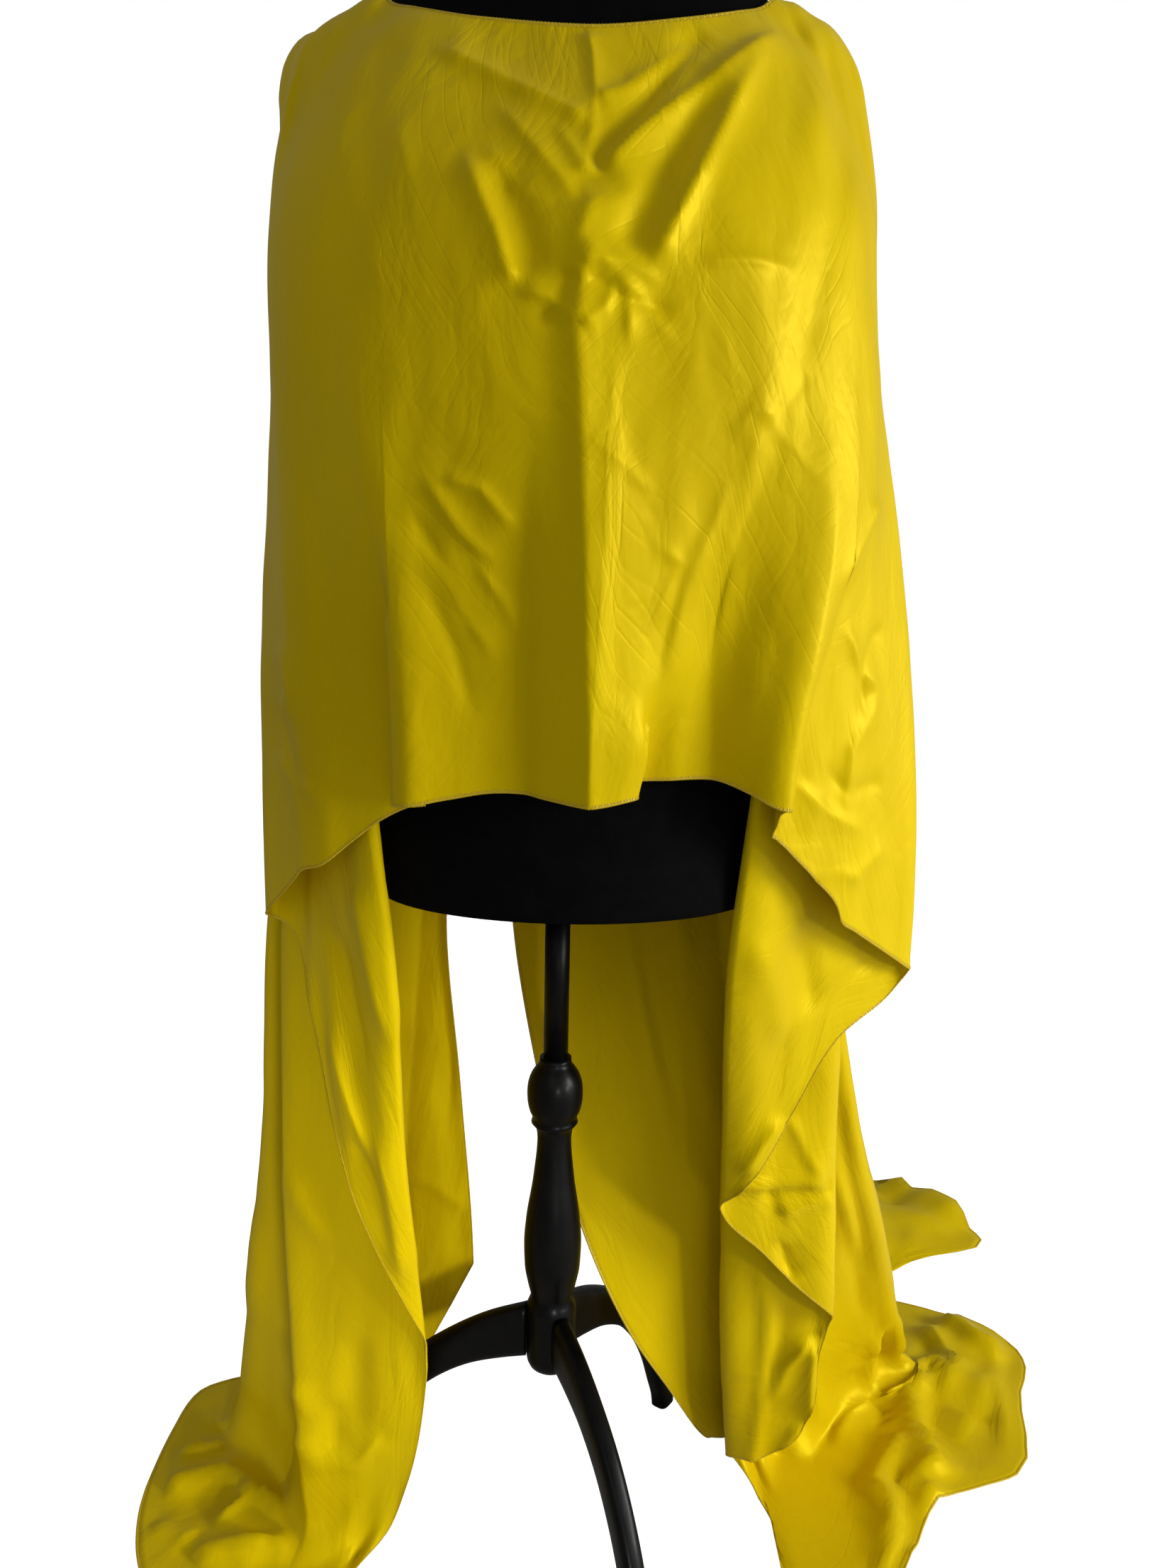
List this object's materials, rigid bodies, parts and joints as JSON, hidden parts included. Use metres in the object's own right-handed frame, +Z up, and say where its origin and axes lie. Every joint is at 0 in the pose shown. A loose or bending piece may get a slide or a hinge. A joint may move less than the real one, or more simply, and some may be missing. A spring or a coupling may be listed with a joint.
{
  "type": "satin cape on a dress form with a tripod stand",
  "caption": "Long satin cape draped over a limbless dress form on a turned tripod stand, open at the front below the hip, with floor-length back panels that trail on the floor.",
  "frame": {"origin": "centre of the bounding box's footprint, on the floor", "axes": "+Z up, the wearer faces -Y, the wearer's right side is at -X"},
  "size_m": [1.1238, 0.9756, 1.62],
  "materials": {
    "satin_front": "glossy silk satin",
    "satin_back_left": "glossy silk satin",
    "satin_back_right": "glossy silk satin",
    "form_cloth": "matt knitted jersey",
    "braid_left": "twisted cord",
    "braid_right": "twisted cord",
    "pole_steel": "semi-gloss black paint",
    "column_wood": "semi-gloss black lacquer",
    "leg_wood_front": "semi-gloss black lacquer",
    "leg_wood_left": "semi-gloss black lacquer",
    "leg_wood_back": "semi-gloss black lacquer"
  },
  "bodies": {
    "root": {"cape_front": "satin_front", "cape_back_left": "satin_back_left", "cape_back_right": "satin_back_right", "form_torso": "form_cloth", "form_braid_left": "braid_left", "form_braid_right": "braid_right", "stand_pole": "pole_steel", "stand_column": "column_wood", "stand_leg_front": "leg_wood_front", "stand_leg_left": "leg_wood_left", "stand_leg_back": "leg_wood_back"}
  },
  "joints": []
}
